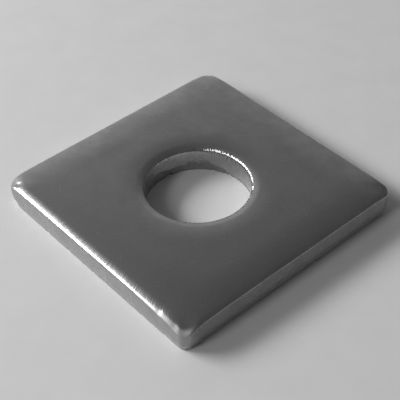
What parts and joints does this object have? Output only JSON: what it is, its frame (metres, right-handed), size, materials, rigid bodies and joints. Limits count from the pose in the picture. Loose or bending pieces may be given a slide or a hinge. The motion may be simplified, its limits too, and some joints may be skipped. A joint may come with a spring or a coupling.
{
  "type": "square plate washer",
  "caption": "Square steel plate washer with a round bolt hole, die-rolled top edges and rounded corners, which spreads a bolt's load over timber or sheet.",
  "frame": {"origin": "centre of the bolt hole on the flat seat face", "axes": "+Z along the bolt hole, out of the die-rolled top face; X and Y along the sides"},
  "size_m": [0.045, 0.045, 0.005],
  "materials": {
    "steel": "bare stamped steel, tumbled to a dull satin"
  },
  "bodies": {
    "root": {"washer": "steel"}
  },
  "joints": []
}
